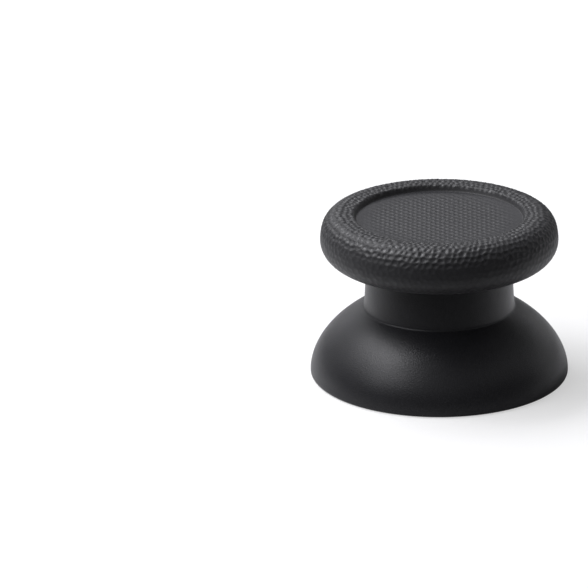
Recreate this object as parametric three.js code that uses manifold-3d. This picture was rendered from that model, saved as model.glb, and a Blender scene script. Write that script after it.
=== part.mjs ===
// A thumbstick cap of a game controller, in two mouldings. The rigid cap body is a thin dome with
// a neck, a carrier plate on top and a keyed socket underneath. The soft grip is moulded round the
// plate: a rolled rim, and inside it a recessed disc with a knurl of small diamond studs.
// Millimetres, +Z up, with the origin in the middle of the circle that the dome stands on.
import * as THREE from 'three';
import { mergeVertices } from 'three/addons/utils/BufferGeometryUtils.js';
import Module from 'manifold-3d';

// Dome: widest over a low band above its rounded foot edge; its curve would close at band + rise
const DOME_RADIUS = 10;
const DOME_BAND = 0.05;
const DOME_RISE = 6.65;
const DOME_FULLNESS = 1.84;
const FOOT_EDGE = 0.25;
const WALL = 1.1;

// Neck: slightly tapered, from the dome up to the shoulder on which the grip sits
const NECK_BOTTOM_RADIUS = 5.82;
const NECK_TOP_RADIUS = 5.62;
const NECK_LENGTH = 3.67;
const SHOULDER_WIDTH = 0.62;

// Spindle above the shoulder, and the carrier plate that the grip is moulded round
const SPINDLE_LENGTH = 0.88;
const PLATE_THICKNESS = 1.3;
const PLATE_EDGE = 0.3;
const PLATE_COVER = 1.57;

// Keyed socket for the stick's lever, in a boss with radial ribs
const BOSS_RADIUS = 3.1;
const BOSS_RECESS = 1.2;
const SOCKET_RADIUS = 2.05;
const SOCKET_FLATS = 3.1;
const SOCKET_DEPTH = 6;
const SOCKET_LEAD = 0.35;
const RIB_COUNT = 4;
const RIB_THICKNESS = 0.9;
const RIB_SETBACK = 1.1;

// Rolled rim of the grip: its width is the run from the outside to the foot of the disc's wall
const RIM_RADIUS = 9.17;
const RIM_WIDTH = 2.72;
const RIM_BELT_RISE = 1.75;
const RIM_CREST_SETBACK = 1.57;
const RIM_FOOT_SETBACK = 1.97;
const RIM_UPPER_FULLNESS = 2.25;
const RIM_LOWER_FULLNESS = 1.95;

// Recessed disc of the grip, and the low wall round it
const DISC_DEPTH = 0.47;
const DISC_THICKNESS = 1.2;
const DISC_WALL_RUN = 0.17;
const LIP_DROP = 0.05;

// Knurl: a diamond lattice of blunt studs between two crossed families of V grooves, one family a
// little shallower than the other, inside a plain margin
const KNURL_PITCH = 0.5;
const KNURL_DEPTH = 0.17;
const KNURL_CROSS_RISE = 0.02;
const KNURL_MARGIN = 0.12;
const STUD_LAND = 0.1;

// Gap between the two mouldings where they don't lie face to face
const MOULD_GAP = 0.3;

// Number of flat facets round each turned form, and of steps along each curve
const FACETS = 48;
const DOME_STEPS = 8;
const HOLLOW_STEPS = 5;
const RIM_STEPS = 6;
const FOOT_STEPS = 2;
// Length by which a cutter stands clear of what it cuts
const CLEAR = 1;

// Heights and radii that follow from the sizes above
const domeBelt = FOOT_EDGE + DOME_BAND;
const neckFoot = domeHeightAt(NECK_BOTTOM_RADIUS, DOME_RADIUS, DOME_RISE);
const shoulderHeight = neckFoot + NECK_LENGTH;
const hollowCeiling = shoulderHeight - WALL;
const plateBottom = shoulderHeight + SPINDLE_LENGTH;
const plateTop = plateBottom + PLATE_THICKNESS;
const discHeight = plateTop + DISC_THICKNESS;
const rimTop = discHeight + DISC_DEPTH;
const spindleRadius = NECK_TOP_RADIUS - SHOULDER_WIDTH;
const plateRadius = RIM_RADIUS - PLATE_COVER - MOULD_GAP;
const discRadius = RIM_RADIUS - RIM_WIDTH;
// The grip's facets start half a facet round, so that no corner of them lies on a groove
const gripStart = Math.PI / FACETS;

const wasm = await Module();
wasm.setup();

/** A point of an outline: distance from the axis, and height. */
function at(radius, height) {
  return new THREE.Vector2(radius, height);
}

/** Closed mesh of a geometry as a solid that can be joined and cut. */
function solidOf(geometry) {
  const bare = geometry.clone();
  bare.deleteAttribute('normal');
  bare.deleteAttribute('uv');
  const merged = mergeVertices(bare, 1e-5);
  return new wasm.Manifold(new wasm.Mesh({
    numProp: 3,
    vertProperties: Float32Array.from(merged.attributes.position.array),
    triVerts: Uint32Array.from(merged.index.array),
  }));
}

/** Geometry of a solid, with flat facets. */
function geometryOf(solid) {
  const mesh = solid.getMesh();
  const geometry = new THREE.BufferGeometry();
  geometry.setAttribute('position', new THREE.BufferAttribute(mesh.vertProperties, 3));
  geometry.setIndex(new THREE.BufferAttribute(mesh.triVerts, 1));
  geometry.computeVertexNormals();
  return geometry;
}

/** Solid turned about the Z axis from an outline that runs downwards on its outer side; the first
 * facet starts at the given angle. */
function turned(outline, start = 0) {
  const geometry = new THREE.LatheGeometry([...outline].reverse(), FACETS);
  geometry.rotateX(Math.PI / 2);
  geometry.rotateZ(start);
  return solidOf(geometry);
}

/** Radius of a dome curve at a height: full at the belt, closed at belt + rise. */
function domeRadiusAt(height, radius, rise) {
  const share = (height - domeBelt) / rise;
  return radius * (1 - share ** DOME_FULLNESS) ** (1 / DOME_FULLNESS);
}

/** Height at which a dome curve has narrowed to the given radius. */
function domeHeightAt(narrow, radius, rise) {
  const share = (1 - (narrow / radius) ** DOME_FULLNESS) ** (1 / DOME_FULLNESS);
  return domeBelt + rise * share;
}

/** Points of a dome curve from its belt up to a narrower radius, closer together near the belt. */
function domeCurve(radius, rise, narrow, steps) {
  const top = domeHeightAt(narrow, radius, rise);
  return Array.from({ length: steps }, (_, i) => {
    const height = domeBelt + (top - domeBelt) * Math.sin((i / steps) * Math.PI / 2);
    return at(domeRadiusAt(height, radius, rise), height);
  });
}

/** Quarter roll from a point where it runs flat to a point where it stands upright. */
function roll(flat, upright, fullness, steps) {
  return Array.from({ length: steps + 1 }, (_, i) => {
    const angle = (i / steps) * Math.PI / 2;
    const out = Math.sin(angle) ** (2 / fullness);
    const down = Math.cos(angle) ** (2 / fullness);
    return at(flat.x + (upright.x - flat.x) * out, upright.y + (flat.y - upright.y) * down);
  });
}

/** Outside of the cap body below the shoulder, from the shoulder down to the foot. */
function bodyOutside() {
  const dome = domeCurve(DOME_RADIUS, DOME_RISE, NECK_BOTTOM_RADIUS, DOME_STEPS);
  const edge = roll(at(DOME_RADIUS - FOOT_EDGE, 0), at(DOME_RADIUS, FOOT_EDGE), 2, FOOT_STEPS);
  return [
    at(NECK_TOP_RADIUS, shoulderHeight),
    at(NECK_BOTTOM_RADIUS, neckFoot),
    ...dome.reverse(),
    ...edge.reverse(),
  ];
}

/** Spindle and carrier plate above the shoulder, from the axis out and down. */
function carrierOutline() {
  return [
    at(0, plateTop),
    at(plateRadius - PLATE_EDGE, plateTop),
    at(plateRadius, plateTop - PLATE_EDGE),
    at(plateRadius, plateBottom),
    at(spindleRadius, plateBottom),
    at(spindleRadius, shoulderHeight),
  ];
}

/** Hollow of the dome and the neck, set in from the outside by the given wall, up the inside. */
function hollowOutline(wall) {
  const radius = DOME_RADIUS - wall;
  const rise = DOME_RISE - wall;
  const narrow = NECK_BOTTOM_RADIUS - wall;
  return [
    at(radius, 0),
    ...domeCurve(radius, rise, narrow, HOLLOW_STEPS),
    at(narrow, domeHeightAt(narrow, radius, rise)),
    at(NECK_TOP_RADIUS - wall, hollowCeiling),
  ];
}

/** Dome, neck, carrier plate and the plain boss in one turned solid. */
function turnedBody() {
  return turned([
    ...carrierOutline(),
    ...bodyOutside(),
    ...hollowOutline(WALL),
    at(BOSS_RADIUS, hollowCeiling),
    at(BOSS_RADIUS, BOSS_RECESS),
    at(0, BOSS_RECESS),
  ]);
}

/** Radial ribs from the boss to the skin of the dome, trimmed to the middle of its wall. */
function ribs() {
  const low = BOSS_RECESS + RIB_SETBACK;
  const plate = new THREE.Shape([
    at(0, low),
    at(BOSS_RADIUS, low),
    at(DOME_RADIUS, neckFoot),
    at(DOME_RADIUS, hollowCeiling + WALL / 2),
    at(0, hollowCeiling + WALL / 2),
  ]);
  const skin = turned([at(0, hollowCeiling + WALL / 2), ...hollowOutline(WALL / 2).reverse(), at(0, 0)]);
  const all = Array.from({ length: RIB_COUNT }, (_, i) => {
    const rib = new THREE.ExtrudeGeometry(plate, { depth: RIB_THICKNESS, bevelEnabled: false });
    rib.translate(0, 0, -RIB_THICKNESS / 2);
    rib.rotateX(Math.PI / 2);
    rib.rotateZ((i + 0.5) * 2 * Math.PI / RIB_COUNT);
    return solidOf(rib);
  });
  return all.reduce((joined, rib) => joined.add(rib)).intersect(skin);
}

/** Outline of the lever's socket: a circle with two flats, grown by the given amount. */
function socketShape(grow) {
  const radius = SOCKET_RADIUS + grow;
  const half = SOCKET_FLATS / 2 + grow;
  const turn = Math.asin(half / radius);
  const shape = new THREE.Shape();
  shape.absarc(0, 0, radius, -turn, turn, false);
  shape.absarc(0, 0, radius, Math.PI - turn, Math.PI + turn, false);
  return shape;
}

/** Cutter of the keyed socket, with a lead-in step at its mouth. */
function socketCutter() {
  const options = { bevelEnabled: false, curveSegments: 8 };
  const deep = new THREE.ExtrudeGeometry(socketShape(0), { ...options, depth: SOCKET_DEPTH + CLEAR });
  const mouth = new THREE.ExtrudeGeometry(socketShape(SOCKET_LEAD), {
    ...options,
    depth: SOCKET_LEAD + CLEAR,
  });
  deep.translate(0, 0, BOSS_RECESS - CLEAR);
  mouth.translate(0, 0, BOSS_RECESS - CLEAR);
  return solidOf(deep).add(solidOf(mouth));
}

/** The rigid moulding. */
function capBody() {
  return turnedBody().add(ribs()).subtract(socketCutter());
}

/** Rolled rim, plain recessed disc and the pocket round the carrier plate, in one turned solid. */
function gripBlank() {
  const crest = at(RIM_RADIUS - RIM_CREST_SETBACK, rimTop);
  const belt = at(RIM_RADIUS, shoulderHeight + RIM_BELT_RISE);
  const foot = at(RIM_RADIUS - RIM_FOOT_SETBACK, shoulderHeight);
  return turned([
    at(0, discHeight),
    at(discRadius, discHeight),
    at(discRadius + DISC_WALL_RUN, rimTop - LIP_DROP),
    ...roll(crest, belt, RIM_UPPER_FULLNESS, RIM_STEPS),
    ...roll(foot, belt, RIM_LOWER_FULLNESS, RIM_STEPS).reverse().slice(1),
    at(spindleRadius + MOULD_GAP, shoulderHeight),
    at(spindleRadius + MOULD_GAP, plateBottom - MOULD_GAP),
    at(plateRadius + MOULD_GAP, plateBottom - MOULD_GAP),
    at(plateRadius + MOULD_GAP, plateTop),
    at(0, plateTop),
  ], gripStart);
}

/** One family of parallel V grooves of the given depth, turned by an angle about the axis. */
function grooves(angle, depth) {
  const half = (KNURL_PITCH - STUD_LAND) / 2;
  const count = Math.ceil(discRadius / KNURL_PITCH);
  const sections = Array.from({ length: 2 * count }, (_, i) => {
    const middle = (i - count + 0.5) * KNURL_PITCH;
    return new THREE.Shape([
      at(middle - half, discHeight + CLEAR),
      at(middle - half, discHeight),
      at(middle, discHeight - depth),
      at(middle + half, discHeight),
      at(middle + half, discHeight + CLEAR),
    ]);
  });
  const geometry = new THREE.ExtrudeGeometry(sections, { depth: 2 * discRadius, bevelEnabled: false });
  geometry.translate(0, 0, -discRadius);
  geometry.rotateX(Math.PI / 2);
  geometry.rotateZ(angle);
  return solidOf(geometry);
}

/** Cutter of the knurl: both families of grooves, as far as the plain margin. */
function knurlCutter() {
  const reach = discRadius - KNURL_MARGIN;
  const field = turned([
    at(0, discHeight + CLEAR / 2),
    at(reach, discHeight + CLEAR / 2),
    at(reach, discHeight - DISC_THICKNESS / 2),
    at(0, discHeight - DISC_THICKNESS / 2),
  ], gripStart);
  const deep = grooves(Math.PI / 4, KNURL_DEPTH);
  const shallow = grooves(-Math.PI / 4, KNURL_DEPTH - KNURL_CROSS_RISE);
  return deep.add(shallow).intersect(field);
}

/** The soft moulding. */
function grip() {
  return gripBlank().subtract(knurlCutter());
}

/** Named mesh of one moulding in its own material. */
function piece(name, solid, colour, roughness) {
  const material = new THREE.MeshStandardMaterial({ color: colour, roughness, metalness: 0 });
  material.flatShading = true;
  const mesh = new THREE.Mesh(geometryOf(solid), material);
  mesh.name = name;
  return mesh;
}

const group = new THREE.Group();
group.add(piece('cap_body', capBody(), 0x1b1b1d, 0.42));
group.add(piece('grip_top', grip(), 0x242427, 0.68));

export default group;
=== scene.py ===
"""Thumbstick cap of a game controller: a satin black dome with its neck, and a soft knurled grip.

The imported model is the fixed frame. Both mouldings are made again here as finely curved meshes of the
same form: the dome and neck with the socket underneath, and the grip with its knurled disc, its wall
and the pebbled roll of its rim. All meshes are in metres, while the fields of the classes are in
millimetres, as the drawing of such a part would have them.
"""

import logging
import math
from dataclasses import dataclass, field
from enum import Enum

import bpy
import numpy as np
from bpy.types import Material, Node, Nodes, NodeSocket, NodeTree, Object
from mathutils import Euler, Matrix, Vector
from mathutils.geometry import delaunay_2d_cdt


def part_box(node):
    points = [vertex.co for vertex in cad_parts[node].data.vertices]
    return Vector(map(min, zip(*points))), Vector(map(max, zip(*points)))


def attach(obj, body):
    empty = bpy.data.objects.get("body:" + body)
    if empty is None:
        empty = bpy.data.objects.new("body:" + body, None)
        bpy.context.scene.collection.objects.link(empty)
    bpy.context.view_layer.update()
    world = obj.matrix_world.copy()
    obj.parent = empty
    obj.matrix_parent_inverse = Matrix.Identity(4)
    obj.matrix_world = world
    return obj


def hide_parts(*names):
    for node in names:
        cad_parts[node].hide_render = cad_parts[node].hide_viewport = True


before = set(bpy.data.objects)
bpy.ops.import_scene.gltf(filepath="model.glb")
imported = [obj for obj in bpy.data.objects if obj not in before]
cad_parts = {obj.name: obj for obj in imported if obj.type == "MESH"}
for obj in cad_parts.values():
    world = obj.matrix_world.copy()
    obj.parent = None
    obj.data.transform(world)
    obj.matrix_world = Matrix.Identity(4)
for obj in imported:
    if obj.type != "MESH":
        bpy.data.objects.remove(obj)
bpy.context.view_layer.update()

MM = 0.001
BODY = "root"
ROUND = 2.0
log = logging.getLogger("thumbstick_cap")

Point = tuple[float, float]


class Moulding(Enum):
    """The two mouldings of the cap, by the names of their nodes in the frame."""

    BODY = "cap_body"
    GRIP = "grip_top"


class Family(Enum):
    """The two crossed families of grooves, with the angle across each in degrees."""

    RISING = 45.0
    FALLING = -45.0


class Merge(Enum):
    """What one solid does to another, by the name of the boolean."""

    JOIN = "UNION"
    CUT = "DIFFERENCE"


@dataclass(frozen=True)
class TurnedPlace:
    """Heights and radius of a round frame node, in millimetres."""

    low: float
    high: float
    radius: float

    @classmethod
    def of(cls, moulding: Moulding) -> "TurnedPlace":
        """Reads the place of one moulding from the frame.

        Args:
            moulding: the moulding whose node is read.

        Returns:
            Its place in millimetres.
        """
        low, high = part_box(moulding.value)
        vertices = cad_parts[moulding.value].data.vertices
        radius = max(vertex.co.xy.length for vertex in vertices)
        return cls(low.z / MM, high.z / MM, radius / MM)


def superellipse_quarter(flat: Point, upright: Point, fullness: float, steps: int) -> list[Point]:
    """Quarter roll between a point where it runs flat and a point where it stands upright.

    Args:
        flat: radius and height of the flat end.
        upright: radius and height of the upright end.
        fullness: exponent of the superellipse; ROUND makes an ellipse.
        steps: number of segments.

    Returns:
        The points from the flat end to the upright end, both included.
    """
    points = []
    for i in range(steps + 1):
        angle = i / steps * math.pi / 2
        out = math.sin(angle) ** (2 / fullness)
        down = math.cos(angle) ** (2 / fullness)
        points.append((flat[0] + (upright[0] - flat[0]) * out, upright[1] + (flat[1] - upright[1]) * down))
    return points


def straight(start: Point, end: Point, steps: int) -> list[Point]:
    """Evenly spaced points of a straight run, without its last point."""
    return [tuple(point) for point in np.linspace(start, end, steps + 1)[:-1]]


def rounded(before: Point, corner: Point, after: Point, radius: float, steps: int) -> list[Point]:
    """Rounds one corner of an outline with a smooth curve.

    Args:
        before: a point of the outline before the corner.
        corner: the sharp corner.
        after: a point of the outline after the corner.
        radius: how far from the corner the curve starts and ends.
        steps: number of segments of the curve.

    Returns:
        The points of the curve.
    """
    tip = Vector(corner)
    start = tip + (Vector(before) - tip).normalized() * radius
    end = tip + (Vector(after) - tip).normalized() * radius
    shares = [i / steps for i in range(steps + 1)]
    return [tuple(start * (1 - t) ** 2 + tip * (2 * t * (1 - t)) + end * t**2) for t in shares]


def run_along(points: np.ndarray) -> np.ndarray:
    """Distance of each point of an outline from its start, along the outline."""
    return np.concatenate([[0], np.cumsum(np.linalg.norm(np.diff(points, axis=0), axis=1))])


def respaced(outline: list[Point], fine_run: float, fine_steps: int, coarse_steps: int) -> list[Point]:
    """Divides an outline into short segments, then longer ones, each kind of one length.

    Args:
        outline: the outline's points.
        fine_run: length from the start that has the short segments.
        fine_steps: number of short segments.
        coarse_steps: number of longer segments over the rest.

    Returns:
        The new points, both ends included.
    """
    points = np.array(outline)
    run = run_along(points)
    fine = np.linspace(0, fine_run, fine_steps + 1)
    stops = np.concatenate([fine, np.linspace(fine_run, run[-1], coarse_steps + 1)[1:]])
    spaced = np.column_stack([np.interp(stops, run, points[:, k]) for k in (0, 1)])
    return [tuple(point) for point in spaced]


def linked_object(name: str, data: bpy.types.ID) -> Object:
    """Makes an object and links it into the scene.

    Args:
        name: name of the object.
        data: its mesh, light or camera.

    Returns:
        The object.
    """
    made = bpy.data.objects.new(name, data)
    bpy.context.scene.collection.objects.link(made)
    return made


def new_object(name: str, vertices: np.ndarray, faces: list[tuple[int, ...]]) -> Object:
    """Makes a mesh object from points in millimetres.

    Args:
        name: name of the object and its mesh.
        vertices: one row of three numbers for each vertex.
        faces: vertex indices of each face.

    Returns:
        The object, linked into the scene.
    """
    mesh = bpy.data.meshes.new(name)
    mesh.from_pydata((vertices * MM).tolist(), [], faces)
    mesh.validate()
    return linked_object(name, mesh)


def smooth_by_angle(piece: Object, degrees: float) -> None:
    """Shades a mesh smooth, apart from edges sharper than the given angle."""
    piece.data.shade_smooth()
    piece.data.set_sharp_from_angle(angle=math.radians(degrees))


def circle_angles(segments: int) -> np.ndarray:
    """Angles of evenly spaced points once round the axis."""
    return np.arange(segments) * 2 * math.pi / segments


def ring_vertices(outline: list[Point], segments: int) -> np.ndarray:
    """Rings of vertices round the axis, one for each point of an outline.

    Args:
        outline: radius and height of each ring.
        segments: number of vertices in a ring.

    Returns:
        The vertices, ring after ring.
    """
    angles = circle_angles(segments)
    return np.vstack(
        [np.column_stack([r * np.cos(angles), r * np.sin(angles), np.full(segments, z)]) for r, z in outline]
    )


def ring_faces(first: int, second: int, count: int) -> list[tuple[int, ...]]:
    """Quads between two rings of vertices of the same length.

    Args:
        first: index of the first ring's first vertex.
        second: index of the second ring's first vertex.
        count: vertices in each ring.

    Returns:
        The quads, facing out when the outline runs downwards on its outer side.
    """
    return [
        (first + i, second + i, second + (i + 1) % count, first + (i + 1) % count) for i in range(count)
    ]


def lathe(name: str, outline: list[Point], segments: int) -> Object:
    """Turns a closed outline that starts and ends on the axis.

    Args:
        name: name of the object.
        outline: radius and height of each point, from the axis at the top, down the outer side, and
            back to the axis.
        segments: number of segments round the axis.

    Returns:
        The closed solid.
    """
    inner = outline[1:-1]
    ends = np.array([[0, 0, outline[0][1]], [0, 0, outline[-1][1]]])
    vertices = np.vstack([ring_vertices(inner, segments), ends])
    top = len(inner) * segments
    last = (len(inner) - 1) * segments
    faces = [(top, i, (i + 1) % segments) for i in range(segments)]
    for k in range(len(inner) - 1):
        faces += ring_faces(k * segments, (k + 1) * segments, segments)
    faces += [(top + 1, last + (i + 1) % segments, last + i) for i in range(segments)]
    return new_object(name, vertices, faces)


def combine(target: Object, tool: Object, merge: Merge) -> None:
    """Joins or cuts one solid with another, and deletes the tool.

    Args:
        target: the solid that is changed.
        tool: the solid that is added or cut away.
        merge: whether it is added or cut away.
    """
    modifier = target.modifiers.new("merge", "BOOLEAN")
    modifier.operation = merge.value
    modifier.object = tool
    modifier.solver = "EXACT"
    bpy.context.view_layer.update()
    graph = bpy.context.evaluated_depsgraph_get()
    result = bpy.data.meshes.new_from_object(target.evaluated_get(graph))
    target.modifiers.clear()
    target.data = result
    bpy.data.objects.remove(tool)


def extruded(name: str, outline: list[Point], low: float, high: float) -> Object:
    """Upright prism from an outline in the XY plane.

    Args:
        name: name of the object.
        outline: X and Y of each corner, anticlockwise.
        low: height of the lower face.
        high: height of the upper face.

    Returns:
        The closed solid.
    """
    count = len(outline)
    vertices = np.array([(x, y, z) for z in (low, high) for x, y in outline])
    faces = [tuple(reversed(range(count))), tuple(range(count, 2 * count))]
    faces += [(i, (i + 1) % count, count + (i + 1) % count, count + i) for i in range(count)]
    return new_object(name, vertices, faces)


def feed(node: Node, inputs: dict[str | int, NodeSocket | float | tuple]) -> Node:
    """Sets or links some inputs of a shader node.

    Args:
        node: the node.
        inputs: for each input, by its name or number, the output to link to it or the value to set.

    Returns:
        The same node.
    """
    for label, value in inputs.items():
        if isinstance(value, NodeSocket):
            node.id_data.links.new(value, node.inputs[label])
        else:
            node.inputs[label].default_value = value
    return node


def add_node(
    nodes: Nodes, kind: str, inputs: dict[str | int, NodeSocket | float | tuple], **settings: str | NodeTree
) -> Node:
    """Adds a shader node.

    Args:
        nodes: the nodes of the tree.
        kind: type of the node, as it stands after ShaderNode.
        inputs: what its inputs get, as for feed.
        settings: the node's own settings, such as its operation.

    Returns:
        The node.
    """
    node = nodes.new(f"ShaderNode{kind}")
    for name, value in settings.items():
        setattr(node, name, value)
    return feed(node, inputs)


def math_node(
    nodes: Nodes, operation: str, first: NodeSocket | float, second: NodeSocket | float
) -> NodeSocket:
    """Output of a new Math node of two values."""
    return add_node(nodes, "Math", {0: first, 1: second}, operation=operation).outputs["Value"]


def scaled(nodes: Nodes, colour: NodeSocket, gain: NodeSocket) -> NodeSocket:
    """Output of a new node that makes a colour brighter or darker."""
    return add_node(nodes, "VectorMath", {0: colour, "Scale": gain}, operation="SCALE").outputs["Vector"]


class ShaderGroups:
    """Shader effects that more than one material uses, each built once as a node group."""

    CLOUD_DETAIL = 4.0
    SPECK_DETAIL = 1.0
    SPECK_START = 0.66
    SPECK_FULL = 0.8
    CELL_SMOOTHNESS = 0.6
    NOISE_DETAIL = 3.0

    def __init__(self) -> None:
        """Builds the groups."""
        self.mottle = self._build_mottle()
        self.grain = self._build_grain()

    @staticmethod
    def _start(
        name: str, inputs: dict[str, float | tuple], outputs: dict[str, str]
    ) -> tuple[NodeTree, Node, Node]:
        """Starts a group with named sockets.

        Args:
            name: name of the group.
            inputs: default value of each input; a tuple makes a colour.
            outputs: socket type of each output.

        Returns:
            The group, its input node and its output node.
        """
        group = bpy.data.node_groups.new(name, "ShaderNodeTree")
        for label, value in inputs.items():
            kind = "NodeSocketColor" if isinstance(value, tuple) else "NodeSocketFloat"
            socket = group.interface.new_socket(label, in_out="INPUT", socket_type=kind)
            socket.default_value = value
        for label, kind in outputs.items():
            group.interface.new_socket(label, in_out="OUTPUT", socket_type=kind)
        return group, group.nodes.new("NodeGroupInput"), group.nodes.new("NodeGroupOutput")

    def _build_mottle(self) -> NodeTree:
        """Cloudy variation of a colour and of its roughness, with a few pale specks of dust.

        Returns:
            The group.
        """
        group, given, result = self._start(
            "mottle",
            {
                "Colour": (0.02, 0.02, 0.02, 1.0),
                "Cloud Scale": 400.0,
                "Cloud Amount": 0.15,
                "Speck Scale": 4000.0,
                "Speck Amount": 0.3,
                "Roughness": 0.5,
                "Roughness Spread": 0.06,
            },
            {"Colour": "NodeSocketColor", "Roughness": "NodeSocketFloat"},
        )
        nodes, get = group.nodes, given.outputs
        place = add_node(nodes, "TexCoord", {}).outputs["Object"]
        texture = {"Vector": place, "Scale": get["Cloud Scale"], "Detail": self.CLOUD_DETAIL}
        centred = math_node(nodes, "SUBTRACT", add_node(nodes, "TexNoise", texture).outputs["Fac"], 0.5)
        swing = math_node(nodes, "MULTIPLY", centred, get["Cloud Amount"])
        texture = {"Vector": place, "Scale": get["Speck Scale"], "Detail": self.SPECK_DETAIL}
        speck = add_node(nodes, "TexNoise", texture).outputs["Fac"]
        limits = {"From Min": self.SPECK_START, "From Max": self.SPECK_FULL}
        bright = add_node(nodes, "MapRange", {"Value": speck, **limits})
        specks = math_node(nodes, "MULTIPLY", bright.outputs["Result"], get["Speck Amount"])
        gain = math_node(nodes, "ADD", math_node(nodes, "ADD", swing, specks), 1.0)
        rough_swing = math_node(nodes, "MULTIPLY", centred, get["Roughness Spread"])
        rough = math_node(nodes, "ADD", get["Roughness"], rough_swing)
        feed(result, {"Colour": scaled(nodes, get["Colour"], gain), "Roughness": rough})
        return group

    def _build_grain(self) -> NodeTree:
        """Fine moulded grain: small cells broken up by noise.

        Returns:
            The group.
        """
        group, given, result = self._start(
            "moulded_grain",
            {"Cell Scale": 6000.0, "Noise Scale": 9000.0, "Cell Share": 0.5},
            {"Height": "NodeSocketFloat"},
        )
        nodes, get = group.nodes, given.outputs
        place = add_node(nodes, "TexCoord", {}).outputs["Object"]
        texture = {"Vector": place, "Scale": get["Cell Scale"], "Smoothness": self.CELL_SMOOTHNESS}
        cells = add_node(nodes, "TexVoronoi", texture, feature="SMOOTH_F1").outputs["Distance"]
        texture = {"Vector": place, "Scale": get["Noise Scale"], "Detail": self.NOISE_DETAIL}
        noise = add_node(nodes, "TexNoise", texture).outputs["Fac"]
        blend = add_node(nodes, "Mix", {"Factor": get["Cell Share"], "A": noise, "B": cells})
        feed(result, {"Height": blend.outputs["Result"]})
        return group


@dataclass(frozen=True)
class BlackFinish:
    """A black moulded finish with cloudy variation and fine grain, and painted shade in its hollows where a
    relief attribute is named.
    """

    name: str
    colour: tuple[float, float, float, float]
    roughness: float
    roughness_spread: float
    specular: float
    cloud_scale: float
    cloud_amount: float
    speck_scale: float
    speck_amount: float
    grain_cells: float
    grain_noise: float
    grain_share: float
    grain_depth: float
    sheen: float = 0.0
    sheen_roughness: float = 0.5
    # Mesh attribute whose low values paint shade into the colour and raise the roughness; the hollow shade
    # below sets how dark that painted shade gets.
    relief: str = ""
    hollow_shade: float = 1.0
    hollow_roughness: float = 0.0

    def build(self, groups: ShaderGroups) -> Material:
        """Makes the material.

        Args:
            groups: the shared node groups.

        Returns:
            The material.
        """
        material = bpy.data.materials.new(self.name)
        material.use_nodes = True
        nodes = material.node_tree.nodes
        shades = {
            "Colour": self.colour,
            "Cloud Scale": self.cloud_scale,
            "Cloud Amount": self.cloud_amount,
            "Speck Scale": self.speck_scale,
            "Speck Amount": self.speck_amount,
            "Roughness": self.roughness,
            "Roughness Spread": self.roughness_spread,
        }
        mottle = add_node(nodes, "Group", shades, node_tree=groups.mottle)
        colour, roughness = mottle.outputs["Colour"], mottle.outputs["Roughness"]
        # Painted shade: hollows, creases and the wall get a darker colour.
        if self.relief:
            colour, roughness = self._painted_hollow_shade(nodes, colour, roughness)
        scales = {
            "Cell Scale": self.grain_cells,
            "Noise Scale": self.grain_noise,
            "Cell Share": self.grain_share,
        }
        height = add_node(nodes, "Group", scales, node_tree=groups.grain).outputs["Height"]
        depth = self.grain_depth * MM
        bump = add_node(nodes, "Bump", {"Strength": 1.0, "Distance": depth, "Height": height})
        surface = {
            "Base Color": colour,
            "Roughness": roughness,
            "Normal": bump.outputs["Normal"],
            "Specular IOR Level": self.specular,
            "Sheen Weight": self.sheen,
            "Sheen Roughness": self.sheen_roughness,
        }
        feed(nodes["Principled BSDF"], surface)
        return material

    def _painted_hollow_shade(
        self, nodes: Nodes, colour: NodeSocket, roughness: NodeSocket
    ) -> tuple[NodeSocket, NodeSocket]:
        """Paints shade into a finish, and makes it duller, where the relief stored on the mesh is low.

        Args:
            nodes: the material's nodes.
            colour: the colour on the raised places.
            roughness: the roughness on the raised places.

        Returns:
            The colour and the roughness over the whole surface.
        """
        relief = add_node(nodes, "Attribute", {}, attribute_name=self.relief).outputs["Fac"]
        # Painted shade: the colour is darkened where the stored value is low, standing in for shade in
        # hollows.
        shade = add_node(nodes, "MapRange", {"Value": relief, "To Min": self.hollow_shade})
        hollow = math_node(nodes, "SUBTRACT", 1.0, relief)
        dulled = math_node(nodes, "MULTIPLY", hollow, self.hollow_roughness)
        painted_shade_colour = scaled(nodes, colour, shade.outputs["Result"])
        return painted_shade_colour, math_node(nodes, "ADD", roughness, dulled)


SATIN_PLASTIC = BlackFinish(
    name="satin_black_plastic",
    colour=(0.0133, 0.0133, 0.0155, 1.0),
    roughness=0.4,
    roughness_spread=0.08,
    specular=0.4,
    cloud_scale=260.0,
    cloud_amount=0.12,
    speck_scale=5200.0,
    speck_amount=0.35,
    grain_cells=9500.0,
    grain_noise=15000.0,
    grain_share=0.35,
    grain_depth=0.018,
)

SOFT_RUBBER = BlackFinish(
    name="soft_black_rubber",
    colour=(0.022, 0.022, 0.0248, 1.0),
    roughness=0.41,
    roughness_spread=0.1,
    specular=0.67,
    cloud_scale=420.0,
    cloud_amount=0.16,
    speck_scale=4600.0,
    speck_amount=0.45,
    grain_cells=9000.0,
    grain_noise=12000.0,
    grain_share=0.45,
    grain_depth=0.012,
    sheen=0.02,
    sheen_roughness=0.45,
    relief="relief",
    # Painted shade: in the deepest hollows the colour is about half as bright.
    hollow_shade=0.52,
    hollow_roughness=0.27,
)


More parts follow.
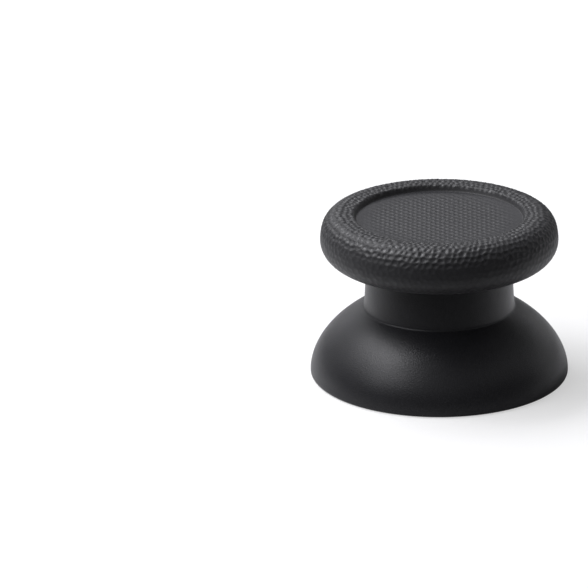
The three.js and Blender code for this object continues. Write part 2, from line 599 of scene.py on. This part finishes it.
@dataclass
class CapBody:
    """The rigid moulding: dome, neck, carrier plate, boss with socket, and ribs. Sizes in millimetres."""

    place: TurnedPlace
    dome_band: float = 0.05
    dome_rise: float = 6.65
    dome_fullness: float = 1.84
    foot_edge: float = 0.25
    wall: float = 1.1
    neck_bottom_radius: float = 5.82
    neck_top_radius: float = 5.62
    neck_length: float = 3.67
    neck_fillet: float = 0.14
    shoulder_width: float = 0.62
    spindle_length: float = 0.88
    plate_radius: float = 7.3
    plate_edge: float = 0.3
    boss_radius: float = 3.1
    boss_recess: float = 1.2
    boss_edge: float = 0.12
    socket_radius: float = 2.05
    socket_flats: float = 3.1
    socket_depth: float = 6.0
    socket_lead: float = 0.35
    rib_count: int = 4
    rib_thickness: float = 0.9
    rib_setback: float = 1.1
    segments: int = 240
    dome_steps: int = 44
    hollow_steps: int = 24
    neck_steps: int = 8
    edge_steps: int = 6
    boss_steps: int = 3
    socket_steps: int = 19
    cut_clearance: float = 1.0
    soft_angle: float = 32.0

    @property
    def belt(self) -> float:
        """Height at which the dome is widest."""
        return self.foot_edge + self.dome_band

    @property
    def shoulder(self) -> float:
        """Height of the shoulder on which the grip sits."""
        return self.dome_height(self.neck_bottom_radius, self.place.radius, self.dome_rise) + self.neck_length

    @property
    def plate_bottom(self) -> float:
        """Height of the carrier plate's lower face."""
        return self.shoulder + self.spindle_length

    @property
    def spindle_radius(self) -> float:
        """Radius of the spindle between the shoulder and the carrier plate."""
        return self.neck_top_radius - self.shoulder_width

    @property
    def ceiling(self) -> float:
        """Height of the hollow's ceiling."""
        return self.shoulder - self.wall

    def dome_height(self, narrow: float, radius: float, rise: float) -> float:
        """Height at which a dome curve of a given radius and rise has narrowed to another radius."""
        share = (1 - (narrow / radius) ** self.dome_fullness) ** (1 / self.dome_fullness)
        return self.belt + rise * share

    def dome_curve(self, radius: float, rise: float, narrow: float, steps: int) -> list[Point]:
        """Dome curve from the belt up to a narrower radius.

        Args:
            radius: radius of the dome at its belt.
            rise: height from the belt to where the curve would close.
            narrow: radius at which it ends.
            steps: number of segments.

        Returns:
            The points, both ends included.
        """
        top = self.dome_height(narrow, radius, rise)
        points = []
        for i in range(steps + 1):
            height = self.belt + (top - self.belt) * math.sin(i / steps * math.pi / 2)
            share = ((height - self.belt) / rise) ** self.dome_fullness
            points.append((radius * (1 - share) ** (1 / self.dome_fullness), height))
        return points

    def outside(self) -> list[Point]:
        """Outline of the neck and the dome, from the shoulder down to the foot.

        Returns:
            The points.
        """
        radius = self.place.radius
        dome = self.dome_curve(radius, self.dome_rise, self.neck_bottom_radius, self.dome_steps)
        dome.reverse()
        neck_top = (self.neck_top_radius, self.shoulder)
        corner = rounded(neck_top, dome[0], dome[1], self.neck_fillet, self.edge_steps)
        past = [point for point in dome[1:] if point[0] > corner[-1][0] + self.neck_fillet / 4]
        foot, belt = (radius - self.foot_edge, 0), (radius, self.foot_edge)
        edge = superellipse_quarter(foot, belt, ROUND, self.edge_steps)
        edge.reverse()
        return [*straight(neck_top, corner[0], self.neck_steps), *corner, *past, *edge]

    def hollow(self) -> list[Point]:
        """Outline of the hollow, from the foot up to the ceiling.

        Returns:
            The points.
        """
        radius = self.place.radius - self.wall
        narrow = self.neck_bottom_radius - self.wall
        curve = self.dome_curve(radius, self.dome_rise - self.wall, narrow, self.hollow_steps)
        return [(radius, 0), *curve, (self.neck_top_radius - self.wall, self.ceiling)]

    def carrier(self) -> list[Point]:
        """Outline of the carrier plate and its spindle, from the axis down to the shoulder.

        Returns:
            The points.
        """
        top, bottom = self.place.high, self.plate_bottom
        return [
            (0, top),
            (self.plate_radius - self.plate_edge, top),
            (self.plate_radius, top - self.plate_edge),
            (self.plate_radius, bottom),
            (self.spindle_radius, bottom),
            (self.spindle_radius, self.shoulder),
        ]

    def turned(self) -> Object:
        """Everything of the moulding that is round.

        Returns:
            The solid.
        """
        root, end = (self.boss_radius, self.ceiling), (0, self.boss_recess)
        corner = (self.boss_radius, self.boss_recess)
        boss = rounded(root, corner, end, self.boss_edge, self.boss_steps)
        outline = [*self.carrier(), *self.outside(), *self.hollow(), root, *boss, end]
        return lathe("cap_shell", outline, self.segments)

    def rib(self, index: int) -> Object:
        """One radial rib, from the boss into the middle of the dome's wall.

        Args:
            index: which rib.

        Returns:
            The solid.
        """
        half = self.wall / 2
        low = self.boss_recess + self.rib_setback
        high = self.ceiling + half
        inner = self.boss_radius / 2
        slope = self.dome_height(self.neck_bottom_radius, self.place.radius, self.dome_rise)
        skin = self.dome_curve(
            self.place.radius - half, self.dome_rise - half, self.neck_bottom_radius - half, self.hollow_steps
        )
        reach = max(radius for radius, height in skin if height >= slope - self.wall)
        lower = low + (slope - low) * (reach - self.boss_radius) / (self.place.radius - self.boss_radius)
        outline = [
            (inner, low),
            (self.boss_radius, low),
            (reach, lower),
            *[point for point in skin if point[1] > lower and point[0] < reach],
            (self.neck_top_radius - half, high),
            (inner, high),
        ]
        plate = extruded(f"rib_{index}", outline, -self.rib_thickness / 2, self.rib_thickness / 2)
        turn = Euler((math.pi / 2, 0, (index + 0.5) * 2 * math.pi / self.rib_count))
        plate.data.transform(turn.to_matrix().to_4x4())
        return plate

    def socket(self, grow: float, depth: float) -> Object:
        """Cutter for the keyed socket: a round bore with two flats.

        Args:
            grow: how much wider than the lever's seat it is, on each side.
            depth: how deep it goes from the end of the boss.

        Returns:
            The solid.
        """
        radius = self.socket_radius + grow
        half = self.socket_flats / 2 + grow
        turn = math.asin(half / radius)
        arc = np.linspace(-turn, turn, self.socket_steps + 1)
        right = [(radius * math.cos(a), radius * math.sin(a)) for a in arc]
        left = [(-x, -y) for x, y in right]
        low = self.boss_recess - self.cut_clearance
        return extruded("socket_cutter", [*right, *left], low, self.boss_recess + depth)

    def build(self, material: Material) -> Object:
        """Makes the moulding, dresses it and puts it in place of its node.

        Args:
            material: the plastic.

        Returns:
            The finished piece.
        """
        piece = self.turned()
        for index in range(self.rib_count):
            combine(piece, self.rib(index), Merge.JOIN)
        combine(piece, self.socket(0, self.socket_depth), Merge.CUT)
        combine(piece, self.socket(self.socket_lead, self.socket_lead), Merge.CUT)
        smooth_by_angle(piece, self.soft_angle)
        piece.data.materials.clear()
        piece.data.materials.append(material)
        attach(piece, BODY)
        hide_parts(Moulding.BODY.value)
        return piece


@dataclass
class Knurl:
    """Diamond lattice of rounded studs between two crossed families of grooves. Sizes in millimetres."""

    pitch: float = 0.5
    depth: float = 0.056
    full: float = 4.4
    reach: float = 6.33
    samples: int = 7

    @property
    def step(self) -> float:
        """Spacing of the mesh that carries the studs."""
        return self.pitch / self.samples

    def across(self, x: np.ndarray, y: np.ndarray, family: Family) -> np.ndarray:
        """Distance of each point from the axis, measured across one family of grooves."""
        angle = math.radians(family.value)
        return x * math.cos(angle) + y * math.sin(angle)

    def cut(self, across: np.ndarray) -> np.ndarray:
        """How deep one family cuts, from 0 on the land to 1 in the groove."""
        return 0.5 - 0.5 * np.cos(2 * math.pi * across / self.pitch)

    def height(self, x: np.ndarray, y: np.ndarray) -> np.ndarray:
        """Height of the knurl against the disc's plane, never above it.

        Args:
            x: X of each point.
            y: Y of each point.

        Returns:
            The heights, which are zero or negative.
        """
        rising = self.cut(self.across(x, y, Family.RISING))
        falling = self.cut(self.across(x, y, Family.FALLING))
        shown = np.clip((self.reach - np.hypot(x, y)) / (self.reach - self.full), 0, 1)
        return ((1 - rising) * (1 - falling) - 1) * self.depth * shown


@dataclass
class PebbleGrain:
    """Leather-like pebbles on the roll of the rim, in slanting rows. Sizes in millimetres."""

    cell_round: float = 0.5
    cell_down: float = 0.43
    bulge: float = 0.9
    crease: float = 0.85
    jitter: float = 0.62
    height: float = 0.116
    level: float = 0.55
    slant: float = 0.5
    stretch: float = 1.1
    least_fullness: float = 0.7
    first_row: float = 1.5
    spare_rows: int = 4
    seed: int = 7

    def relief(self, angle: np.ndarray, run: np.ndarray, girth: float) -> np.ndarray:
        """Relief of the pebbles.

        Args:
            angle: angle of each point round the axis, in radians.
            run: distance of each point down the outline.
            girth: length once round the rim, where the cells have their true width.

        Returns:
            From 0 in a crease to about 1 on a pebble.
        """
        count = round(girth / self.cell_round)
        rows = int(np.max(run) / self.cell_down) + self.spare_rows
        chance = np.random.RandomState(self.seed)
        shift = chance.uniform(-0.5, 0.5, (2, rows, count)) * self.jitter
        fullness = chance.uniform(self.least_fullness, 1.0, (rows, count))
        v = run / self.cell_down + self.first_row
        u = angle / (2 * math.pi) * count + v * self.slant
        column = np.floor(u).astype(int)
        row = np.floor(v).astype(int)
        nearest = np.full(u.shape, np.inf)
        second = np.full(u.shape, np.inf)
        full = np.ones(u.shape)
        for d_row in (-1, 0, 1):
            for d_column in (-1, 0, 1):
                r = np.clip(row + d_row, 0, rows - 1)
                c = column + d_column
                dv = row + d_row + 0.5 + shift[1, r, c % count] - v
                du = c + 0.5 + shift[0, r, c % count] - u - dv * self.slant
                distance = np.hypot((du - dv) / self.stretch, (du + dv) * self.stretch) / math.sqrt(2)
                closer = distance < nearest
                second = np.where(closer, nearest, np.minimum(second, distance))
                full = np.where(closer, fullness[r, c % count], full)
                nearest = np.where(closer, distance, nearest)
        edge = np.clip((second - nearest) / self.crease, 0, 1)
        dome = np.sqrt(np.clip(1 - (nearest / self.bulge) ** 2, 0, 1))
        return edge * (2 - edge) * dome * full


@dataclass
class SoftGrip:
    """The soft moulding: knurled disc, wall, rolled rim, and the pocket round the plate. Millimetres."""

    place: TurnedPlace
    body: CapBody
    knurl: Knurl = field(default_factory=Knurl)
    pebbles: PebbleGrain = field(default_factory=PebbleGrain)
    rim_width: float = 2.72
    belt_rise: float = 1.75
    crest_setback: float = 1.57
    foot_setback: float = 1.97
    upper_fullness: float = 2.25
    lower_fullness: float = 1.95
    disc_depth: float = 0.47
    wall_run: float = 0.17
    lip_drop: float = 0.05
    lip_round: float = 0.12
    wall_foot_round: float = 0.06
    knurl_end: float = 0.02
    mould_gap: float = 0.3
    grain_full: float = 0.12
    grain_fade: float = 2.3
    grain_end: float = 3.7
    flank_grain: float = 0.32
    # Painted shade on the plain parts of the roll and lip, standing in for the shade of pebble creases too
    # fine to model.
    plain_painted_shade: float = 0.6
    # Painted shade in the knurl's grooves: the stored value at a groove's bottom, which darkens the rubber's
    # colour.
    groove_painted_shade: float = 0.7
    # Painted shade on the wall round the disc: a low stored value darkens its colour as if it stood in shade.
    wall_painted_shade: float = 0.1
    segments: int = 700
    grained_steps: int = 50
    flank_steps: int = 28
    lip_steps: int = 8
    foot_steps: int = 3
    flat_steps: int = 4
    wall_share: float = 0.3
    stitch_share: float = 0.4
    stitch_tolerance: float = 1e-7
    soft_angle: float = 70.0

    @property
    def disc_radius(self) -> float:
        """Radius of the recessed disc."""
        return self.place.radius - self.rim_width

    @property
    def wall_foot(self) -> Point:
        """Radius and height of the foot of the wall round the disc."""
        return (self.disc_radius, self.disc_height)

    @property
    def foot(self) -> Point:
        """Radius and height of the rim's foot, where its flat underside starts."""
        return (self.place.radius - self.foot_setback, self.body.shoulder)

    @property
    def lip(self) -> Point:
        """Radius and height of the lip, before it is rounded."""
        return (self.disc_radius + self.wall_run, self.place.high - self.lip_drop)

    @property
    def disc_height(self) -> float:
        """Height of the disc's plane, which is also the top of the studs."""
        return self.place.high - self.disc_depth

    def wall(self) -> list[Point]:
        """Outline from the knurl's edge over the plain margin and up the foot of the wall.

        Returns:
            The points.
        """
        start = (self.knurl.reach + self.knurl_end, self.disc_height)
        rise = rounded(start, self.wall_foot, self.lip, self.wall_foot_round, self.foot_steps)
        return [start, *rise, tuple(Vector(rise[-1]).lerp(Vector(self.lip), self.wall_share))]

    def roll(self) -> list[Point]:
        """Outline of the lip, the crest and the roll of the rim, down to the foot.

        Returns:
            The points.
        """
        crest = (self.place.radius - self.crest_setback, self.place.high)
        belt = (self.place.radius, self.body.shoulder + self.belt_rise)
        lip = rounded(self.wall_foot, self.lip, crest, self.lip_round, self.lip_steps)
        upper = superellipse_quarter(crest, belt, self.upper_fullness, self.grained_steps)
        lower = superellipse_quarter(self.foot, belt, self.lower_fullness, self.grained_steps)
        lower.reverse()
        outline = [*lip, *upper, *lower[1:]]
        return respaced(outline, self.grain_end, self.grained_steps, self.flank_steps)

    def underside(self) -> list[Point]:
        """Outline of the flat underside and of the pocket round the plate, back to the axis.

        Returns:
            The points.
        """
        corner = (self.body.spindle_radius + self.mould_gap, self.body.shoulder)
        outer = self.body.plate_radius + self.mould_gap
        floor = self.body.plate_bottom - self.mould_gap
        flat = straight(self.foot, corner, self.flat_steps)[1:]
        return [*flat, corner, (corner[0], floor), (outer, floor), (outer, self.body.place.high)]

    def grained(self, outline: list[Point]) -> tuple[np.ndarray, np.ndarray]:
        """Raises pebbles along the normals of the roll.

        Args:
            outline: the roll's outline.

        Returns:
            Vertices of all rings, and the value at each that paints shade into the rubber's colour: low in
            the pebbles' creases, and a fixed painted shade where the roll is plain.
        """
        points = np.array(outline)
        tangent = np.gradient(points, axis=0)
        tangent /= np.linalg.norm(tangent, axis=1, keepdims=True)
        normal = np.column_stack([-tangent[:, 1], tangent[:, 0]])
        run = run_along(points)
        angle_grid, run_grid = np.meshgrid(circle_angles(self.segments), run)
        girth = 2 * math.pi * (self.place.radius - self.crest_setback / 2)
        relief = self.pebbles.relief(angle_grid, run_grid, girth)
        fade_in = np.clip(run / self.grain_full, 0, 1)
        out = np.clip((run - self.grain_fade) / (self.grain_end - self.grain_fade), 0, 1)
        fade_out = 1 - out * out * (3 - 2 * out)
        end = np.clip((run[-1] - run) / self.grain_full, 0, 1)
        weight = fade_in * (self.flank_grain + (1 - self.flank_grain) * fade_out) * end
        lift = (relief - self.pebbles.level) * self.pebbles.height * weight[:, None]
        radius = points[:, :1] - normal[:, :1] * lift
        height = points[:, 1:] - normal[:, 1:] * lift
        vertices = np.stack([radius * np.cos(angle_grid), radius * np.sin(angle_grid), height], axis=-1)
        # Painted shade: the pebble creases and the plain parts of the roll get a darker colour through this
        # value.
        painted_roll_shade = self.plain_painted_shade + (relief - self.plain_painted_shade) * weight[:, None]
        return vertices.reshape(-1, 3), painted_roll_shade.reshape(-1)

    def disc(self, first: int) -> tuple[np.ndarray, list[tuple[int, ...]]]:
        """Knurled disc: a square mesh along the grooves, stitched to the ring at the knurl's edge.

        Args:
            first: index that the disc's first vertex will have; the ring has the indices from 0.

        Returns:
            The disc's own vertices, and its faces, which also use the ring's.
        """
        step = self.knurl.step
        half = int(self.knurl.reach / step) + 1
        turn = math.radians(Family.RISING.value)
        across = np.arange(-half, half + 1) * step
        u, v = np.meshgrid(across, across, indexing="ij")
        inside = np.hypot(u, v) < self.knurl.reach - step * self.stitch_share
        cell = inside[:-1, :-1] & inside[1:, :-1] & inside[:-1, 1:] & inside[1:, 1:]
        used = np.zeros(u.shape, bool)
        for i, j in ((0, 0), (1, 0), (0, 1), (1, 1)):
            used[i : i + cell.shape[0], j : j + cell.shape[1]] |= cell
        index = np.full(u.shape, -1)
        index[used] = np.arange(np.count_nonzero(used)) + first
        x = u[used] * math.cos(turn) - v[used] * math.sin(turn)
        y = u[used] * math.sin(turn) + v[used] * math.cos(turn)
        vertices = np.column_stack([x, y, self.disc_height + self.knurl.height(x, y)])
        corners = (index[:-1, :-1], index[1:, :-1], index[1:, 1:], index[:-1, 1:])
        faces = list(zip(*(corner[cell].tolist() for corner in corners)))
        faces += self.stitch(u, v, cell, used, index)
        return vertices, faces

    def stitch(
        self, u: np.ndarray, v: np.ndarray, cell: np.ndarray, used: np.ndarray, index: np.ndarray
    ) -> list[tuple[int, ...]]:
        """Triangles between the stepped edge of the square mesh and the round ring.

        Args:
            u: first lattice coordinate of each grid point.
            v: second lattice coordinate of each grid point.
            cell: which cells of the grid are kept.
            used: which grid points are kept.
            index: vertex index of each kept grid point.

        Returns:
            The triangles.
        """
        whole = np.zeros(used.shape, bool)
        whole[1:-1, 1:-1] = cell[:-1, :-1] & cell[1:, :-1] & cell[:-1, 1:] & cell[1:, 1:]
        border = np.argwhere(used & ~whole)
        place = {(int(i), int(j)): k for k, (i, j) in enumerate(border)}
        coords = [Vector((u[i, j], v[i, j])) for i, j in border]
        kept = {(int(i), int(j)) for i, j in np.argwhere(cell)}
        edges = []
        for i, j in kept:
            sides = (
                ((i, j), (i + 1, j), (i, j - 1)),
                ((i, j + 1), (i + 1, j + 1), (i, j + 1)),
                ((i, j), (i, j + 1), (i - 1, j)),
                ((i + 1, j), (i + 1, j + 1), (i + 1, j)),
            )
            edges += [(place[a], place[b]) for a, b, beyond in sides if beyond not in kept]
        angles = circle_angles(self.segments) - math.radians(Family.RISING.value)
        offset = len(coords)
        coords += [self.knurl.reach * Vector((math.cos(angle), math.sin(angle))) for angle in angles]
        edges += [(offset + i, offset + (i + 1) % self.segments) for i in range(self.segments)]
        names = [int(index[i, j]) for i, j in border] + list(range(self.segments))
        points, _, triangles, origin, _, _ = delaunay_2d_cdt(coords, edges, [], 0, self.stitch_tolerance)
        origin_of = [sources[0] for sources in origin]
        faces = []
        step = self.knurl.step
        half = (u.shape[0] - 1) // 2
        for triangle in triangles:
            centre = sum((points[k] for k in triangle), Vector((0, 0))) / 3
            where = (math.floor(centre.x / step) + half, math.floor(centre.y / step) + half)
            if where not in kept:
                faces.append(tuple(names[origin_of[k]] for k in triangle))
        return faces

    def knurl_painted_shade(self, vertices: np.ndarray) -> np.ndarray:
        """Value stored for the disc's finish at each vertex: 1 on a stud, lower down a groove, where it
        paints shade into the colour and makes the rubber duller.
        """
        return 1 + (vertices[:, 2] - self.disc_height) / self.knurl.depth * (1 - self.groove_painted_shade)

    def build(self, material: Material) -> Object:
        """Makes the moulding, dresses it and puts it in place of its node.

        Args:
            material: the rubber.

        Returns:
            The finished piece.
        """
        count = self.segments
        edge = ring_vertices([(self.knurl.reach, self.disc_height)], count)
        edge[:, 2] += self.knurl.height(edge[:, 0], edge[:, 1])
        wall = ring_vertices(self.wall(), count)
        rim, rim_painted_shade = self.grained(self.roll())
        under = ring_vertices(self.underside(), count)
        rings = np.vstack([edge, wall, rim, under])
        ring_count = len(rings) // count
        centre = len(rings)
        disc, disc_faces = self.disc(centre + 1)
        vertices = np.vstack([rings, [[0, 0, self.body.place.high]], disc])
        faces = disc_faces
        for k in range(ring_count - 1):
            faces += ring_faces(k * count, (k + 1) * count, count)
        last = (ring_count - 1) * count
        faces += [(last + i, centre, last + (i + 1) % count) for i in range(count)]
        piece = new_object("grip_skin", vertices, faces)
        margin_end, rim_start = 2 * count, len(edge) + len(wall)
        # Values that paint shade into the rubber's colour and make it duller: 1 on raised places, lower in
        # grooves, creases and on the wall.
        relief = np.ones(len(vertices))
        # Painted shade in the knurl's grooves.
        relief[:count] = self.knurl_painted_shade(edge)
        # Painted shade on the wall.
        relief[margin_end:rim_start] = self.wall_painted_shade
        # Painted shade in the roll's pebble creases and plain parts.
        relief[rim_start : rim_start + len(rim)] = rim_painted_shade
        # Painted shade in the knurl's grooves.
        relief[centre + 1 :] = self.knurl_painted_shade(disc)
        stored = piece.data.attributes.new(SOFT_RUBBER.relief, "FLOAT", "POINT")
        stored.data.foreach_set("value", relief.astype(np.float32))
        smooth_by_angle(piece, self.soft_angle)
        piece.data.materials.append(material)
        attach(piece, BODY)
        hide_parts(Moulding.GRIP.value)
        return piece


def direction(azimuth: float, elevation: float) -> Vector:
    """Direction from the cap to a place round it.

    Args:
        azimuth: degrees from the front, towards the right.
        elevation: degrees above the floor.

    Returns:
        A vector of length one.
    """
    turn, rise = math.radians(azimuth), math.radians(elevation)
    return Vector((math.sin(turn) * math.cos(rise), -math.cos(turn) * math.cos(rise), math.sin(rise)))


class Lamp(Enum):
    """The studio's softboxes."""

    KEY = "key_softbox"
    KEY_FRONT = "front_key_softbox"
    KEY_REAR = "rear_key_softbox"
    KEY_LOW = "low_key_softbox"
    BACK = "back_softbox"
    BACK_LEFT = "back_left_softbox"
    LEFT_REAR = "left_rear_strip"
    LEFT = "left_strip"
    RIGHT = "right_strip"
    RIGHT_REAR = "right_rear_strip"
    RIGHT_HIGH = "right_softbox"
    RIGHT_FRONT = "right_front_fill"
    FRONT = "front_fill"


@dataclass(frozen=True)
class Softbox:
    """A rectangular area light that looks at the cap. Millimetres and degrees."""

    lamp: Lamp
    azimuth: float
    elevation: float
    width: float
    radiance: float
    height: float = 140.0
    distance: float = 300.0
    tint: tuple[float, float, float] = (0.985, 0.985, 1.02)

    def build(self, target: Vector) -> Object:
        """Makes the light, with the power that gives its face the wanted radiance.

        Args:
            target: the point it looks at, in millimetres.

        Returns:
            The light.
        """
        data = bpy.data.lights.new(self.lamp.value, "AREA")
        data.shape = "RECTANGLE"
        data.size = self.width * MM
        data.size_y = self.height * MM
        data.energy = self.radiance * math.pi * data.size * data.size_y
        data.color = self.tint
        light = linked_object(self.lamp.value, data)
        back = direction(self.azimuth, self.elevation)
        light.location = (target + back * self.distance) * MM
        light.rotation_mode = "QUATERNION"
        light.rotation_quaternion = (-back).to_track_quat("-Z", "Y")
        return light


@dataclass(frozen=True)
class PaleFloor:
    """The plain pale floor, whose colour as bounced rays see it is painted. Millimetres."""

    half_size: float = 900.0
    colour: float = 0.5
    glow: float = 0.52
    # Painted bounce light: floor colours for bounced rays in front of and behind the cap.
    front_bounce: float = 0.16
    back_bounce: float = 0.95
    far_share: float = 0.35
    front_edge: float = -30.0
    back_edge: float = 8.0
    near_radius: float = 25.0
    far_radius: float = 65.0
    roughness: float = 0.9
    specular: float = 0.1
    drop: float = 0.01

    def build(self) -> Object:
        """Makes the floor. Its colour as bounced rays see it is painted darker in front and further out, and
        lighter close behind the cap, so most of the light it bounces on the cap comes from close behind the
        cap.

        Returns:
            The floor.
        """
        s, z = self.half_size, -self.drop
        vertices = np.array([(-s, -s, z), (s, -s, z), (s, s, z), (-s, s, z)])
        floor = new_object("floor", vertices, [(0, 1, 2, 3)])
        material = bpy.data.materials.new("pale_floor")
        material.use_nodes = True
        nodes = material.node_tree.nodes
        place = add_node(nodes, "TexCoord", {}).outputs["Object"]
        depth = add_node(nodes, "SeparateXYZ", {"Vector": place}).outputs["Y"]
        # Painted bounce light: the colour bounced rays see is darker in front and further out, lighter close
        # behind; the camera sees the plain colour.
        behind = self._step(nodes, depth, self.front_edge, self.back_edge).outputs["Result"]
        bounces = {"A": self.front_bounce, "B": self.back_bounce, "Factor": behind}
        bounce = add_node(nodes, "Mix", bounces).outputs["Result"]
        away = add_node(nodes, "VectorMath", {0: place}, operation="LENGTH").outputs["Value"]
        near = self._step(nodes, away, self.near_radius, self.far_radius)
        feed(near, {"To Min": 1.0, "To Max": self.far_share})
        seen = add_node(nodes, "LightPath", {}).outputs["Is Camera Ray"]
        painted_bounce_light = math_node(nodes, "MULTIPLY", bounce, near.outputs["Result"])
        shade = add_node(nodes, "Mix", {"A": painted_bounce_light, "B": self.colour, "Factor": seen})
        surface = {
            "Base Color": shade.outputs["Result"],
            "Roughness": self.roughness,
            "Specular IOR Level": self.specular,
            "Emission Color": (1, 1, 1, 1),
            "Emission Strength": math_node(nodes, "MULTIPLY", seen, self.glow),
        }
        feed(nodes["Principled BSDF"], surface)
        floor.data.materials.append(material)
        return floor

    def _step(self, nodes: Nodes, value: NodeSocket, start: float, end: float) -> Node:
        """Smooth step of a length.

        Args:
            nodes: the material's nodes.
            value: the length.
            start: where the step starts.
            end: where it ends.

        Returns:
            The Map Range node, from 0 to 1 over the step.
        """
        limits = {"From Min": start * MM, "From Max": end * MM}
        return add_node(nodes, "MapRange", {"Value": value, **limits}, interpolation_type="SMOOTHSTEP")


@dataclass(frozen=True)
class PhotoCamera:
    """The camera of the photograph. Millimetres, degrees and pixels of a square frame."""

    elevation: float = 20.4
    distance: float = 400.0
    pixels_per_mm: float = 12.92
    frame_size: float = 588.0
    axis_column: float = 439.2
    target_row: float = 292.2
    target_height: float = 6.5
    sensor: float = 36.0
    clip_start: float = 10.0
    clip_end: float = 10000.0

    @property
    def focal_pixels(self) -> float:
        """Focal length in pixels of the frame."""
        return self.pixels_per_mm * self.distance

    def build(self) -> Object:
        """Makes the camera and turns it so that the cap stands where the photograph shows it.

        Returns:
            The camera.
        """
        data = bpy.data.cameras.new("photo_camera")
        data.sensor_width = self.sensor
        data.lens = self.focal_pixels / self.frame_size * self.sensor
        data.clip_start = self.clip_start * MM
        data.clip_end = self.clip_end * MM
        camera = linked_object("photo_camera", data)
        back = direction(0, self.elevation)
        target = Vector((0, 0, self.target_height))
        pan = math.atan((self.axis_column - self.frame_size / 2) / self.focal_pixels)
        tilt = math.atan((self.target_row - self.frame_size / 2) / self.focal_pixels)
        look = Matrix.Rotation(math.pi / 2 - math.radians(self.elevation), 4, "X")
        aim = look @ Matrix.Rotation(pan, 4, "Y") @ Matrix.Rotation(tilt, 4, "X")
        camera.matrix_world = Matrix.Translation((target + back * self.distance) * MM) @ aim
        bpy.context.scene.camera = camera
        return camera


@dataclass
class Studio:
    """Floor, soft lights, pale surroundings and camera. Millimetres."""

    target_height: float = 7.0
    surround: float = 0.03
    softboxes: tuple[Softbox, ...] = (
        Softbox(Lamp.KEY, azimuth=-87, elevation=58, width=120, height=120, radiance=7.9),
        Softbox(Lamp.KEY_FRONT, azimuth=-60, elevation=40, width=140, height=120, radiance=4.4),
        Softbox(Lamp.KEY_REAR, azimuth=-130, elevation=60, width=160, radiance=7.4),
        Softbox(Lamp.KEY_LOW, azimuth=-110, elevation=35, width=140, height=120, radiance=1.2),
        Softbox(Lamp.BACK, azimuth=180, elevation=35, width=340, distance=420, radiance=0.8),
        Softbox(Lamp.BACK_LEFT, azimuth=-150, elevation=42, width=200, radiance=0.8),
        Softbox(Lamp.LEFT_REAR, azimuth=-155, elevation=12, width=160, height=80, radiance=1.45),
        Softbox(Lamp.LEFT, azimuth=-120, elevation=12, width=120, height=80, radiance=0.5),
        Softbox(Lamp.RIGHT, azimuth=115, elevation=12, width=120, height=80, radiance=0.85),
        Softbox(Lamp.RIGHT_REAR, azimuth=145, elevation=12, width=160, height=80, radiance=1.0),
        Softbox(Lamp.RIGHT_HIGH, azimuth=100, elevation=35, width=160, radiance=0.4),
        Softbox(Lamp.RIGHT_FRONT, azimuth=60, elevation=40, width=160, height=120, radiance=0.4),
        Softbox(Lamp.FRONT, azimuth=0, elevation=40, width=240, radiance=0.36),
    )

    def build(self) -> None:
        """Makes everything round the cap."""
        PaleFloor().build()
        target = Vector((0, 0, self.target_height))
        for softbox in self.softboxes:
            softbox.build(target)
        world = bpy.data.worlds.new("studio_air")
        world.use_nodes = True
        background = {"Color": (1, 1, 1, 1), "Strength": self.surround}
        feed(world.node_tree.nodes["Background"], background)
        scene = bpy.context.scene
        scene.world = world
        scene.view_settings.view_transform = "Standard"
        PhotoCamera().build()


def main() -> None:
    """Builds the studio and both mouldings."""
    logging.basicConfig(level=logging.INFO, format="%(name)s: %(message)s")
    Studio().build()
    groups = ShaderGroups()
    body = CapBody(TurnedPlace.of(Moulding.BODY))
    grip = SoftGrip(TurnedPlace.of(Moulding.GRIP), body)
    pieces = [body.build(SATIN_PLASTIC.build(groups)), grip.build(SOFT_RUBBER.build(groups))]
    for piece in pieces:
        log.info("%s: %d faces", piece.name, len(piece.data.polygons))


if __name__ == "__main__":
    main()
